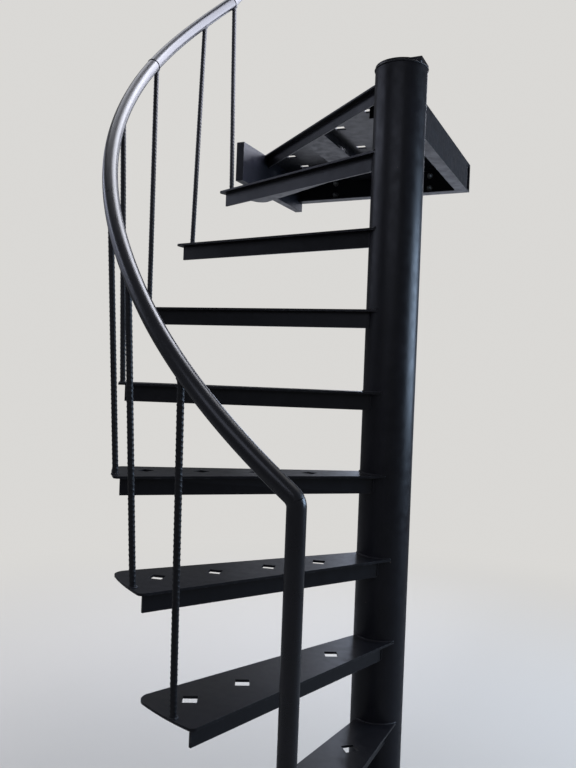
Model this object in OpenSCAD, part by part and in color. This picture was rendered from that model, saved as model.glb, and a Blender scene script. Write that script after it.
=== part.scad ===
// Spiral staircase of painted steel: a round pipe column, plate treads with a
// flat bar on edge under their nosing, welded straight to the column, a ribbed
// bar on each tread and a bent tube handrail.
// The origin is at the centre of the column's foot, on the floor. +Z is up and
// +Y is the way a climber leaves the landing. The stair climbs clockwise as
// seen from above.

/* [Climb] */
// Height of one step
rise = 220; // [180:5:240]
// Turn from one tread to the next, in degrees
step_angle = 16.2; // [14:0.1:18]
// Direction of the first tread's front edge, in degrees
first_azimuth = -74.5; // [-80:0.5:-70]

/* [Column] */
// Outside diameter of the column pipe
column_d = 141; // [114:1:168]
// Wall thickness of the column pipe
column_wall = 6; // [4:0.5:8]
// How far the column stands above the landing
column_above = 12; // [10:1:60]
// Side of the square foot plate
foot_w = 240; // [220:5:300]

/* [Treads] */
// Radius of the treads' curved outer end
tread_r = 730; // [700:5:760]
// Thickness of the tread plate
plate_t = 6; // [5:0.5:8]
// Depth of a tread's front, from its top to the foot of the flat bar
lip_h = 49; // [40:1:60]
// How far the plate's front edge stands in front of the flat bar
nosing = 20; // [10:1:25]
// Length of the flat bar, from the column's axis
lip_end = 712; // [680:2:716]
// Side of a square opening, which stands on its corner
opening_side = 32; // [24:1:36]

/* [Railing] */
// Diameter of the handrail tube and the posts
rail_d = 38; // [34:1:42]
// Radius of the handrail's helix
rail_r = 758; // [755:1:775]
// Height of the handrail's axis above a tread
rail_h = 707; // [700:1:900]
// Diameter of a baluster bar
bar_d = 16; // [12:1:18]

/* [Landing] */
// Width of the landing, from the column's axis to its side beam
landing_w = 711; // [700:1:725]
// Far edge of the landing, from the column's axis
landing_end = 950; // [900:10:1100]
// Depth of the side beam
side_beam_h = 140; // [120:5:160]
// Depth of the beams under the other two edges
edge_beam_h = 100; // [80:5:120]

/* [Hidden] */
$fn = 96;
TREADS = 9;
FIRST_BAR = 3;

// Paint
paint = "#2b2e3a";
bar_paint = "#34363d";

// Column and its plates
column_r = column_d / 2;
foot_t = 12;
foot_hole_pitch = 190;
foot_hole_d = 14;
cap_t = 8;
saddle_t = 10;
saddle_l = 110;
saddle_w = 70;
saddle_shift = 10;
landing_z = rise * (TREADS + 1);
column_top = landing_z + column_above;

// Tread outline, in a frame whose X runs along the tread and Y to its front
front_y = 65;
back_y = -29;
back_slope = 7.8;
front_corner_r = 14;
back_corner_r = 30;
lip_t = 6;
// The treads stand a little off their even places, as welded by eye: each one's
// turn, in degrees, and how far the last one stands low
tread_turn = [0, 0, 0, 1.1, 0, 0, 0, 0.5, 1.2];
last_tread_drop = 9;
first_opening = 220;
opening_pitch = 141;
openings = 4;
opening_y = 30;
opening_drift = -0.11;
// A corner's circle is a little larger than one that would only touch the two
// edges, so that it crosses them
corner_bite = 0.2;

// Balusters
bar_lead = 1.2;
bar_r = 722;
bar_seam = 17;
// The bars stand a little off their even places and lean, as set by eye when a
// stair is welded: each foot's turn, and its top's turn from the foot, in degrees
bar_shift = [-1.2, 0.7, 0.6, 1.2, 0.6, -1.4, 1.1];
bar_lean = [1.9, 0, -0.9, -3.9, -4.5, -3.9, 0.5];

// Handrail
rail_facets = 20;
rail_wall = 3;
tube_r = rail_d / 2;
ring_turn = 3.2;
newel_azimuth = -85.3;
newel_r = 729;
newel_lift = 42;
newel_foot_w = 90;
newel_foot_t = 8;
newel_hole_pitch = 62;
newel_hole_d = 9;
ease_turn = 30;
sag = 60;
sag_inward = 40;
sag_azimuth = -165;
sag_turn = 50;
seam_azimuth = -173;
landing_rail_lift = 149;
landing_rail_slope = 45.6;
side_beam_w = 30;
landing_rail_x = tube_r - landing_w;
flange_t = 8;
flange_d = 90;
flange_hole_pitch = 44;
flange_hole_d = 9;

// Landing
landing_azimuth = 140.1;
landing_front = 5;
side_beam_start = 417;
steel_t = 6;
edge_beam_w = 45;
landing_lip_h = 41;
joist_x = -465;
joist_w = 100;
joist_h = 30;
joist_t = 4;
beam_hole_d = 14;
beam_hole_dx = 400;
beam_hole_dz = 50;
landing_opening_x = 301;
landing_opening_y = -84;
landing_opening_pitch = 190;
landing_row_shift = 137;
landing_row_pitch = 165;
lone_opening_x = 960;
lone_opening_y = -186;
cleat_x = -160;
cleat_y = 206;
cleat_w = 40;
cleat_h = 43;
bar_gap = 1;

function even_azimuth(i) = first_azimuth - step_angle * (i - 1);
function tread_azimuth(i) = even_azimuth(i) + tread_turn[i - 1];
function tread_z(i) = rise * i - (i == TREADS ? last_tread_drop : 0);
function bar_azimuth(i) = even_azimuth(i) + bar_lead + bar_shift[i - FIRST_BAR];
function on_circle(r, a, z) = [r * cos(a), r * sin(a), z];
function unit(v) = v / norm(v);

// The handrail's axis: a helix that draws in a little at both ends, and sags
// towards the landing
function ease(a) = pow(max(0, a - (newel_azimuth - ease_turn)) / ease_turn, 2);
function droop(a) = pow(max(0, sag_azimuth - a) / sag_turn, 2);
function rail_radius(a) = rail_r - (rail_r - newel_r) * ease(a) - sag_inward * droop(a);
function rail_height(a) = rail_h + rise * (1 + (first_azimuth + bar_lead - a) / step_angle)
    + newel_lift * ease(a) - sag * droop(a);
function rail_point(a) = on_circle(rail_radius(a), a, rail_height(a));
function rail_run(a) = unit(rail_point(a - 0.5) - rail_point(a + 0.5));
function rail_path(a, b) =
    let (n = ceil(abs(b - a) / ring_turn))
    [for (k = [0:n]) rail_point(a + (b - a) * k / n)];

// The direction in which the helix comes over the landing's side, in a few steps
// that each start from the one before
function side_azimuth(a, steps) =
    steps == 0 ? a : side_azimuth(-180 - acos(-landing_rail_x / rail_radius(a)), steps - 1);
corner_azimuth = side_azimuth(-200, 6);

newel_top = rail_point(newel_azimuth);
rail_corner = rail_point(corner_azimuth);
landing_rail_z = landing_z + rail_h + landing_rail_lift;
climb = (landing_rail_z - rail_corner[2]) / tan(landing_rail_slope);
rail_bend = [landing_rail_x, rail_corner[1] + climb, landing_rail_z];
rail_end = [landing_rail_x, landing_end - flange_t, landing_rail_z];
down = [0, 0, -1];

// A tube along a path, cut at each point by the plane halfway between the two
// stretches that meet there. The first and last cuts meet the directions given.
function tube_ring(c, along, cut, r) =
    let (side = unit(cross(along, [0, 0, 1])), up = cross(side, along))
    [for (k = [0:rail_facets - 1])
        let (p = r * (cos(360 * k / rail_facets) * side + sin(360 * k / rail_facets) * up))
        c + p - along * (p * cut) / (along * cut)];

module tube_along(path, before, after, r) {
    last = len(path) - 1;
    runs = [for (k = [0:last - 1]) unit(path[k + 1] - path[k])];
    points = [for (k = [0:last])
        let (along = runs[min(k, last - 1)])
        let (back = k == 0 ? before : runs[k - 1])
        let (ahead = k == last ? after : runs[k])
        each tube_ring(path[k], along, unit(back + ahead), r)];
    n = rail_facets;
    polyhedron(points, concat(
        [[for (k = [0:n - 1]) k]],
        [for (j = [0:last - 1], k = [0:n - 1])
            each [[j * n + k, (j + 1) * n + k, (j + 1) * n + (k + 1) % n],
                [j * n + k, (j + 1) * n + (k + 1) % n, j * n + (k + 1) % n]]],
        [[for (k = [n - 1:-1:0]) last * n + k]]));
}

// Turns the Z axis to a direction
module aim(v) {
    u = unit(v);
    rotate([0, acos(u[2]), atan2(u[1], u[0])]) children();
}

// Square openings that stand on a corner
module opening(x, y) {
    translate([x, y])
        rotate(45)
            square(opening_side, center = true);
}

// What the rounding of a corner takes off: a wedge from the circle's centre,
// between two directions, less the circle
module corner_waste(centre, r, from, to) {
    middle = (from + to) / 2;
    translate(centre)
        difference() {
            polygon([[0, 0], 2 * r * [cos(from), sin(from)], 3 * r * [cos(middle), sin(middle)],
                2 * r * [cos(to), sin(to)]]);
            circle(r + corner_bite, $fn = 48);
        }
}

// The plate's outline: an arc outside, a slanting back edge and two round corners
module tread_outline() {
    inward = -back_y * cos(back_slope);
    front_corner = [sqrt(pow(tread_r - front_corner_r, 2) - pow(front_y - front_corner_r, 2)),
        front_y - front_corner_r];
    back_corner = [sqrt(pow(tread_r - back_corner_r, 2) - pow(back_corner_r - inward, 2)),
        back_corner_r - inward];
    difference() {
        intersection() {
            circle(tread_r, $fn = 180);
            translate([0, -tread_r])
                square([tread_r, tread_r + front_y]);
            rotate(-back_slope)
                translate([0, -inward])
                    square(2 * tread_r);
        }
        corner_waste(front_corner, front_corner_r, atan2(front_corner[1], front_corner[0]), 90);
        rotate(-back_slope)
            corner_waste(back_corner, back_corner_r, -90, atan2(back_corner[1], back_corner[0]));
    }
}

// A tread: the plate, and the flat bar on edge under it
module tread_shape() {
    difference() {
        union() {
            translate([0, 0, -plate_t])
                linear_extrude(plate_t)
                    difference() {
                        tread_outline();
                        for (k = [0:openings - 1])
                            opening(first_opening + opening_pitch * k,
                                opening_y + opening_drift * (first_opening + opening_pitch * k));
                    }
            translate([0, front_y - nosing - lip_t, -lip_h])
                cube([lip_end, lip_t, lip_h - plate_t]);
        }
        translate([0, 0, -lip_h - 1])
            cylinder(h = lip_h + 2, r = column_r);
    }
}

module tread(i) {
    color(paint)
        difference() {
            translate([0, 0, tread_z(i)])
                rotate(tread_azimuth(i))
                    tread_shape();
            if (i < FIRST_BAR) newel_core();
        }
}

// The newel post's own space, which the two lowest treads are cut back to
module newel_core() {
    translate([newel_top[0], newel_top[1], newel_foot_t])
        cylinder(h = newel_top[2], r = tube_r);
}

// A bar from a flat foot to the underside of the handrail tube
module bar(from, to, along) {
    color(bar_paint)
        difference() {
            translate(from)
                aim(to - from)
                    translate([0, 0, -bar_d])
                        rotate(bar_seam)
                            cylinder(h = norm(to - from) + bar_d, d = bar_d, $fn = 32);
            translate([from[0] - rail_d, from[1] - rail_d, from[2] - 2 * rail_d])
                cube(2 * rail_d);
            translate(to)
                aim(along)
                    cylinder(h = 2 * rail_d, r = tube_r, center = true);
        }
}

module baluster(i) {
    top_azimuth = bar_azimuth(i) + bar_lean[i - FIRST_BAR];
    bar(on_circle(bar_r, bar_azimuth(i), tread_z(i)), rail_point(top_azimuth), rail_run(top_azimuth));
}

// A channel along Y: its web's outer face at x = 0 and its flanges towards -X
module channel(length, depth, width, t) {
    translate([-t, 0, -depth])
        cube([t, length, depth]);
    translate([-width, 0, -t])
        cube([width - t, length, t]);
    translate([-width, 0, -depth])
        cube([width - t, length, t]);
}

module column() {
    color(paint)
        translate([0, 0, foot_t])
            difference() {
                cylinder(h = column_top - foot_t - cap_t - saddle_t, r = column_r);
                translate([0, 0, -1])
                    cylinder(h = column_top, r = column_r - column_wall);
            }
}

module column_foot() {
    color(paint)
        difference() {
            translate([-foot_w / 2, -foot_w / 2, 0])
                cube([foot_w, foot_w, foot_t]);
            for (sx = [-1, 1], sy = [-1, 1])
                translate([sx * foot_hole_pitch / 2, sy * foot_hole_pitch / 2, -1])
                    cylinder(h = foot_t + 2, d = foot_hole_d, $fn = 32);
        }
}

module column_cap() {
    color(paint) {
        translate([0, 0, column_top - cap_t - saddle_t])
            cylinder(h = cap_t, r = column_r);
        translate([saddle_shift - saddle_l / 2, -saddle_w / 2, column_top - saddle_t])
            cube([saddle_l, saddle_w, saddle_t]);
    }
}

// The newel post, its top cut at half the angle to the handrail
module newel_post() {
    length = newel_top[2] - newel_foot_t + rail_d;
    color(paint)
        difference() {
            translate([newel_top[0], newel_top[1], newel_foot_t])
                cylinder(h = length, r = tube_r);
            translate([newel_top[0], newel_top[1], newel_foot_t - 1])
                cylinder(h = length + 2, r = tube_r - rail_wall);
            translate(newel_top)
                aim(rail_run(newel_azimuth) - down)
                    translate([-rail_d * 2, -rail_d * 2, 0])
                        cube(rail_d * 4);
        }
}

module newel_foot() {
    color(paint)
        translate([newel_top[0], newel_top[1], 0])
            difference() {
                translate([-newel_foot_w / 2, -newel_foot_w / 2, 0])
                    cube([newel_foot_w, newel_foot_w, newel_foot_t]);
                for (sx = [-1, 1], sy = [-1, 1])
                    translate([sx * newel_hole_pitch / 2, sy * newel_hole_pitch / 2, -1])
                        cylinder(h = newel_foot_t + 2, d = newel_hole_d, $fn = 32);
            }
}

module handrail_lower() {
    path = rail_path(newel_azimuth, seam_azimuth);
    color(paint)
        tube_along(path, [0, 0, 1], rail_run(seam_azimuth), tube_r);
}

module handrail_upper() {
    color(paint)
        tube_along(rail_path(seam_azimuth, corner_azimuth), rail_run(seam_azimuth),
            unit(rail_bend - rail_corner), tube_r);
}

module landing_handrail() {
    path = rail_path(seam_azimuth, corner_azimuth);
    color(paint)
        tube_along([rail_corner, rail_bend, rail_end],
            unit(path[len(path) - 1] - path[len(path) - 2]), [0, 1, 0], tube_r);
}

module landing_rail_flange() {
    color(paint)
        translate(rail_end)
            rotate([-90, 0, 0])
                difference() {
                    cylinder(h = flange_t, d = flange_d);
                    for (sx = [-1, 1], sy = [-1, 1])
                        translate([sx * flange_hole_pitch / 2, sy * flange_hole_pitch / 2, -1])
                            cylinder(h = flange_t + 2, d = flange_hole_d, $fn = 32);
                }
}

// The plate and its flat bar are drawn in a frame whose X runs along the front edge
module landing_plate() {
    color(paint)
        translate([0, 0, landing_z])
            rotate(landing_azimuth)
                difference() {
                    union() {
                        translate([0, 0, -plate_t])
                            linear_extrude(plate_t)
                                intersection() {
                                    rotate(-landing_azimuth)
                                        translate([-landing_w, 0])
                                            square([landing_w, landing_end]);
                                    translate([0, landing_front - 2 * landing_end])
                                        square(2 * landing_end);
                                }
                        translate([0, landing_front - nosing - lip_t, -landing_lip_h])
                            cube([2 * landing_w, lip_t, landing_lip_h - plate_t]);
                    }
                    translate([0, 0, -landing_lip_h - 1])
                        cylinder(h = landing_lip_h + 2, r = column_r);
                    rotate(-landing_azimuth)
                        translate([-landing_w - landing_end, 0, -landing_lip_h - 1])
                            cube([landing_end, landing_end, landing_lip_h + 2]);
                    for (row = [0:1], k = [0:3 - row])
                        translate([landing_opening_x + landing_opening_pitch * k + row * landing_row_shift,
                            landing_opening_y - row * landing_row_pitch, -plate_t - 1])
                            linear_extrude(plate_t + 2)
                                opening(0, 0);
                    translate([0, 0, -plate_t - 1])
                        linear_extrude(plate_t + 2)
                            opening(lone_opening_x, lone_opening_y);
                }
}

// The space in front of the landing's flat bar, which the members behind stop at
module landing_front_space(z, h) {
    rotate(landing_azimuth)
        translate([-landing_end, landing_front - nosing - lip_t - bar_gap, z])
            cube([2 * landing_end, landing_end, h]);
}

module landing_side_beam() {
    length = landing_end - side_beam_start;
    color(paint) {
        translate([-landing_w, side_beam_start, landing_z])
            channel(length, side_beam_h, side_beam_w, steel_t);
        translate([-landing_w - side_beam_w, side_beam_start, landing_z - side_beam_h + steel_t])
            cube([side_beam_w - steel_t, steel_t, side_beam_h - 2 * steel_t]);
    }
}

module landing_house_beam() {
    color(paint)
        difference() {
            translate([0, 0, landing_z - plate_t])
                channel(landing_end - edge_beam_w, edge_beam_h, edge_beam_w, steel_t);
            translate([0, 0, landing_z - plate_t - edge_beam_h - 1])
                cylinder(h = edge_beam_h + 2, r = column_r);
            landing_front_space(landing_z - landing_lip_h - 1, landing_lip_h);
        }
}

module landing_rear_beam() {
    color(paint)
        difference() {
            translate([-landing_w, landing_end, landing_z - plate_t])
                rotate(90)
                    mirror([0, 1, 0])
                        channel(landing_w, edge_beam_h, edge_beam_w, steel_t);
            for (sx = [-1, 1], sz = [-1, 1])
                translate([-landing_w / 2 + sx * beam_hole_dx / 2, landing_end - steel_t - 1,
                    landing_z - plate_t - edge_beam_h / 2 + sz * beam_hole_dz / 2])
                    rotate([-90, 0, 0])
                        cylinder(h = steel_t + 2, d = beam_hole_d, $fn = 32);
        }
}

module landing_joist() {
    z = landing_z - plate_t - joist_h;
    color(paint)
        difference() {
            translate([joist_x, 0, z])
                difference() {
                    cube([joist_w, landing_end - edge_beam_w, joist_h]);
                    translate([joist_t, -1, joist_t])
                        cube([joist_w - 2 * joist_t, landing_end, joist_h]);
                }
            landing_front_space(z - 1, joist_h + 2);
        }
}

module landing_cleat() {
    color(paint)
        translate([cleat_x, cleat_y, landing_z - plate_t - cleat_h]) {
            cube([cleat_w, steel_t, cleat_h]);
            translate([0, steel_t, cleat_h - steel_t])
                cube([cleat_w, cleat_w - steel_t, steel_t]);
        }
}

column();
column_foot();
column_cap();
for (i = [1:TREADS])
    tread(i);
for (i = [FIRST_BAR:TREADS])
    baluster(i);
newel_post();
newel_foot();
handrail_lower();
handrail_upper();
landing_plate();
landing_side_beam();
landing_house_beam();
landing_rear_beam();
landing_joist();
landing_cleat();
landing_handrail();
landing_rail_flange();
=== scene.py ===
# %% [markdown]
# # A spiral stair of painted steel
# The stair is a round pipe with plate treads welded straight to it. A ribbed bar
# stands on the outer end of each tread from the third up, and a bent tube runs
# over the bars as a handrail, from a newel post at the foot to a flange at the
# back of the landing.
#
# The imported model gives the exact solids. They could be shown as they are, but
# this script keeps only the flat plates and beams, and builds the tubes, the
# ribbed bars, the welds and the bolts again, with the detail that a close look
# needs. The frame is loaded first, because everything is placed by it.

# %% Load the frame
import math
import random

import bmesh
import bpy
from mathutils import Matrix, Vector


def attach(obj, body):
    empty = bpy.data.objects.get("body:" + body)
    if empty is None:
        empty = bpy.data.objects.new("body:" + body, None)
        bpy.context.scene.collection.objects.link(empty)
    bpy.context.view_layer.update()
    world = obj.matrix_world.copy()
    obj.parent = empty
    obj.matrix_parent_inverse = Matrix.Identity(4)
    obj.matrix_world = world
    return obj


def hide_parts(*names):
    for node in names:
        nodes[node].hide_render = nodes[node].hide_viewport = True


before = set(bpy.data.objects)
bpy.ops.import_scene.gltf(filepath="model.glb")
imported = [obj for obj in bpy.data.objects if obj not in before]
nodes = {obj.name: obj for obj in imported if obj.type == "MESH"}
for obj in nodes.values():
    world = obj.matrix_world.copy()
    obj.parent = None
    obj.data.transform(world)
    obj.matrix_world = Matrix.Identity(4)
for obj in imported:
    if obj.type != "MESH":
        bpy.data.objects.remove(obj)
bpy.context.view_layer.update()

# %% [markdown]
# ## The camera
# The photograph was taken with the camera held a little tilted, at about eye
# height, from the open side of the stair. Its place and its turn were found by
# fitting the stair's own lines, so they are written here as numbers. The camera
# could be aimed with a constraint, but a matrix keeps the small roll as well.
# The picture is upright, so the sensor's long side goes with its height.

# %% Place the camera
EYE = Vector((0.5939, -1.9322, 1.3568))
VIEW_AZIMUTH = math.radians(114.936)
VIEW_PITCH = -0.0122
VIEW_ROLL = 0.0380
FOCAL_PIXELS = 733.16
PHOTO_HEIGHT = 768
SENSOR = 36
UP = Vector((0, 0, 1))
TO_RIGHT = Vector((1, 0, 0))


def camera_axes():
    """Right, up and forward of the camera as unit vectors."""
    level = Vector((math.cos(VIEW_AZIMUTH), math.sin(VIEW_AZIMUTH), 0))
    right = level.cross(UP)
    forward = math.cos(VIEW_PITCH) * level + math.sin(VIEW_PITCH) * UP
    above = right.cross(forward)
    tilted_right = math.cos(VIEW_ROLL) * right + math.sin(VIEW_ROLL) * above
    tilted_up = math.cos(VIEW_ROLL) * above - math.sin(VIEW_ROLL) * right
    return tilted_right, tilted_up, forward


lens = bpy.data.cameras.new("camera")
lens.sensor_width = SENSOR
lens.lens = FOCAL_PIXELS / PHOTO_HEIGHT * SENSOR
camera = bpy.data.objects.new("camera", lens)
right, above, forward = camera_axes()
camera.matrix_world = Matrix((right, above, -forward)).transposed().to_4x4()
camera.location = EYE
bpy.context.scene.collection.objects.link(camera)
bpy.context.scene.camera = camera
print("lens", round(lens.lens, 2), "mm")

# %% [markdown]
# ## The stair's own numbers
# The handrail, the bars and the welds all follow the same few measures as the
# solids do: the rise of a step, the turn from tread to tread and the radii. They
# are repeated here in metres, so that every new piece lands on its solid.

# %% Measures in metres and degrees
# The steps
RISE = 0.220
STEP_TURN = 16.2
FIRST_AZIMUTH = -74.5
TREADS = 9
# How far each tread was welded off its even place: its turn, and the last one's height
TREAD_TURN = [0, 0, 0, 1.1, 0, 0, 0, 0.5, 1.2]
LAST_TREAD_DROP = 0.009
# The column, its foot, cap and saddle
COLUMN_R = 0.0705
COLUMN_WALL = 0.006
COLUMN_TOP = 2.212
CAP_T = 0.008
SADDLE_T = 0.010
FOOT_T = 0.012
# A tread's plate, and the flat bar on edge under it
PLATE_T = 0.006
FRONT_Y = 0.065
BACK_Y = -0.029
BACK_SLOPE = 7.8
LIP_H = 0.049
LIP_T = 0.006
NOSING = 0.020
# The upright bars, and how each of them stands off its place and leans
FIRST_BAR = 3
BAR_RADIUS = 0.008
BAR_R = 0.722
BAR_LEAD = 1.2
BAR_SHIFT = [-1.2, 0.7, 0.6, 1.2, 0.6, -1.4, 1.1]
BAR_LEAN = [1.9, 0, -0.9, -3.9, -4.5, -3.9, 0.5]
# The handrail's tube and its helix
TUBE_R = 0.019
RAIL_R = 0.758
RAIL_H = 0.707
SEAM_AZIMUTH = -173
# Its lower end, eased down and inward to the newel post
NEWEL_AZIMUTH = -85.3
NEWEL_R = 0.729
NEWEL_LIFT = 0.042
NEWEL_FOOT_T = 0.008
EASE_TURN = 30
# Its upper end, sagging towards the landing
SAG = 0.060
SAG_INWARD = 0.040
SAG_AZIMUTH = -165
SAG_TURN = 50
# The landing, its rail and the rail's end flange
LANDING_Z = RISE * (TREADS + 1)
LANDING_W = 0.711
LANDING_END = 0.950
LANDING_AZIMUTH = 140.1
LANDING_FRONT = 0.005
LANDING_RAIL_LIFT = 0.149
LANDING_RAIL_SLOPE = 45.6
FLANGE_T = 0.008


def polar(radius, degrees, height):
    """A point given by its distance from the column's axis, direction and height."""
    turn = math.radians(degrees)
    return Vector((radius * math.cos(turn), radius * math.sin(turn), height))


def even_azimuth(i):
    """Direction in which tread i would stand if all turns were the same."""
    return FIRST_AZIMUTH - STEP_TURN * (i - 1)


def tread_azimuth(i):
    """Direction of the front edge of tread i as it was welded."""
    return even_azimuth(i) + TREAD_TURN[i - 1]


def tread_z(i):
    """Height of the top of tread i."""
    return RISE * i - (LAST_TREAD_DROP if i == TREADS else 0)


def on_tread(i, along, across, height=0.0):
    """A point on tread i, along its front edge and across it."""
    turn = Matrix.Rotation(math.radians(tread_azimuth(i)), 3, "Z")
    return turn @ Vector((along, across, tread_z(i) + height))


print("landing at", LANDING_Z, "m, steps turn", STEP_TURN * TREADS, "degrees")

# %% [markdown]
# ## The line of the handrail
# A bent tube like this one is rolled to a helix, then eased by hand to meet the
# newel post, and it sags a little where it joins the straight tube of the
# landing. A curve object could be drawn by eye, but a formula keeps the tube
# over the bars' heads, so the line is written as a function of direction.

# %% The handrail's axis
# Degrees to either side of a point that give the way through it
NEAR = 0.5


def ease(azimuth):
    """0 along the helix, 1 at the newel post."""
    return (max(0, azimuth - (NEWEL_AZIMUTH - EASE_TURN)) / EASE_TURN) ** 2


def droop(azimuth):
    """0 along the helix, growing towards the landing."""
    return (max(0, SAG_AZIMUTH - azimuth) / SAG_TURN) ** 2


def rail_radius(azimuth):
    """Distance of the handrail's axis from the column's."""
    return RAIL_R - (RAIL_R - NEWEL_R) * ease(azimuth) - SAG_INWARD * droop(azimuth)


def rail_point(azimuth):
    """A point of the handrail's axis."""
    steps = 1 + (FIRST_AZIMUTH + BAR_LEAD - azimuth) / STEP_TURN
    height = RAIL_H + RISE * steps + NEWEL_LIFT * ease(azimuth) - SAG * droop(azimuth)
    return polar(rail_radius(azimuth), azimuth, height)


def rail_run(azimuth):
    """The way the handrail goes on up the stair."""
    ahead, back = rail_point(azimuth - NEAR), rail_point(azimuth + NEAR)
    return (ahead - back).normalized()


def rail_path(start, end, turn):
    """Points of the handrail's axis about one turn apart."""
    count = math.ceil(abs(end - start) / turn)
    return [rail_point(start + (end - start) * k / count) for k in range(count + 1)]


# The corner is where the helix meets the line of the straight tube. Its radius
# hangs on its direction, so a first guess is made better a few times.
CORNER_GUESS = -200
ROUNDS = 6
landing_rail_x = TUBE_R - LANDING_W
corner_azimuth = CORNER_GUESS
for _ in range(ROUNDS):
    corner_azimuth = -180 - math.degrees(math.acos(-landing_rail_x / rail_radius(corner_azimuth)))
newel_top = rail_point(NEWEL_AZIMUTH)
rail_corner = rail_point(corner_azimuth)
landing_rail_z = LANDING_Z + RAIL_H + LANDING_RAIL_LIFT
climb = (landing_rail_z - rail_corner.z) / math.tan(math.radians(LANDING_RAIL_SLOPE))
rail_bend = Vector((landing_rail_x, rail_corner.y + climb, landing_rail_z))
rail_end = Vector((landing_rail_x, LANDING_END - FLANGE_T, landing_rail_z))
print("handrail from", [round(v, 3) for v in newel_top], "to", [round(v, 3) for v in rail_end])

# %% [markdown]
# ## One skin for many pieces
# Tubes, bars, weld beads and turned bolts are all a row of rings with a skin
# over them. Blender could do each with its own tool, such as a bevelled curve or
# a screw modifier. One helper that joins rings is easier to follow, gives closed
# meshes, and lets a ring be cut at any angle where two tubes meet.

# %% Skins and pieces
def loft(rings, closed=False):
    """Points and faces of a skin over rings that have the same number of points."""
    sides = len(rings[0])
    points = [point for ring in rings for point in ring]
    faces = []
    for j in range(len(rings) if closed else len(rings) - 1):
        low, high = j * sides, (j + 1) % len(rings) * sides
        faces += [
            (low + k, low + (k + 1) % sides, high + (k + 1) % sides, high + k)
            for k in range(sides)
        ]
    if not closed:
        last = (len(rings) - 1) * sides
        faces += [tuple(reversed(range(sides))), tuple(range(last, last + sides))]
    return points, faces


def make_piece(name, skins, stands_for=(), sharp=40):
    """A named mesh from one or more skins, which rides on the stair.

    Edges that turn by more than sharp degrees stay sharp.
    """
    points, faces = [], []
    for skin_points, skin_faces in skins:
        faces += [tuple(k + len(points) for k in face) for face in skin_faces]
        points += skin_points
    mesh = bpy.data.meshes.new(name)
    mesh.from_pydata(points, [], faces)
    tidy = bmesh.new()
    tidy.from_mesh(mesh)
    bmesh.ops.recalc_face_normals(tidy, faces=tidy.faces)
    tidy.to_mesh(mesh)
    tidy.free()
    mesh.shade_smooth()
    mesh.set_sharp_from_angle(angle=math.radians(sharp))
    piece = bpy.data.objects.new(name, mesh)
    bpy.context.scene.collection.objects.link(piece)
    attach(piece, "root")
    if stands_for:
        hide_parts(*stands_for)
    print(name, len(faces), "faces")
    return piece


print("piece helper ready")

# %% [markdown]
# ### Tubes and bends
# A tube is a row of rings along a path. Where two lengths meet at an angle, the
# real tubes are cut at half that angle on a saw. The rings are slanted into the
# same plane, so the tube keeps its width there. A rounded corner is a path of
# short lengths along an arc.

# %% Tubes and bends
# The drawn tube is a hair thinner than the solid, so that it never stands out of it.
SKIN_GAP = 0.0002
SKIN_R = TUBE_R - SKIN_GAP
TUBE_SIDES = 40
# Height of a direction from which on it counts as upright
STEEP = 0.9


def circle(sides):
    """The turns of the points round a ring."""
    return [2 * math.pi * k / sides for k in range(sides)]


def tube_ring(centre, along, cut, radius, sides, across=None):
    """A ring round a tube's axis, slanted into the plane whose normal is cut."""
    side = along.cross(across or (UP if abs(along.z) < STEEP else TO_RIGHT)).normalized()
    over = side.cross(along)
    ring = []
    for turn in circle(sides):
        point = radius * (math.cos(turn) * side + math.sin(turn) * over)
        ring.append(centre + point - along * (point.dot(cut) / along.dot(cut)))
    return ring


def tube(path, before, after, across=None):
    """A tube along a path, mitred at each point and at both ends."""
    runs = [(b - a).normalized() for a, b in zip(path, path[1:])]
    rings = []
    for k, centre in enumerate(path):
        back = runs[k - 1] if k else before
        ahead = runs[k] if k < len(runs) else after
        along = runs[min(k, len(runs) - 1)]
        cut = (back + ahead).normalized()
        rings.append(tube_ring(centre, along, cut, SKIN_R, TUBE_SIDES, across))
    return loft(rings)


def bend(corner, before, after, radius, steps):
    """Points of a path that rounds a corner."""
    turn = before.angle(after)
    inward = (after - before * after.dot(before)).normalized()
    centre = corner - before * radius * math.tan(turn / 2) + inward * radius
    angles = [turn * k / steps for k in range(steps + 1)]
    return [centre + radius * (before * math.sin(a) - inward * math.cos(a)) for a in angles]


print("tube helpers ready")

# %% [markdown]
# ## Handrail and newel
# The real rail is one bent tube from the newel to a welded seam near the top,
# where a second tube goes on along the landing. A tube with few sides would show
# flats against the light, so each tube has forty sides and a ring every degree,
# and the ends are cut at half the angle where it meets the next one. The corner
# over the newel was ground smooth, so it is rounded and shows no bead.

# %% Build the tubes
BACK = Vector((0, 1, 0))
# Degrees from ring to ring
RING_TURN = 1.0
# The bend over the newel: its radius and steps, and how far past it the helix starts
NEWEL_BEND = 0.030
BEND_STEPS = 12
PAST_BEND = 0.004
upper_path = rail_path(SEAM_AZIMUTH, corner_azimuth, RING_TURN)
corner_run = (upper_path[-1] - upper_path[-2]).normalized()
climb_run = (rail_bend - rail_corner).normalized()

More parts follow.
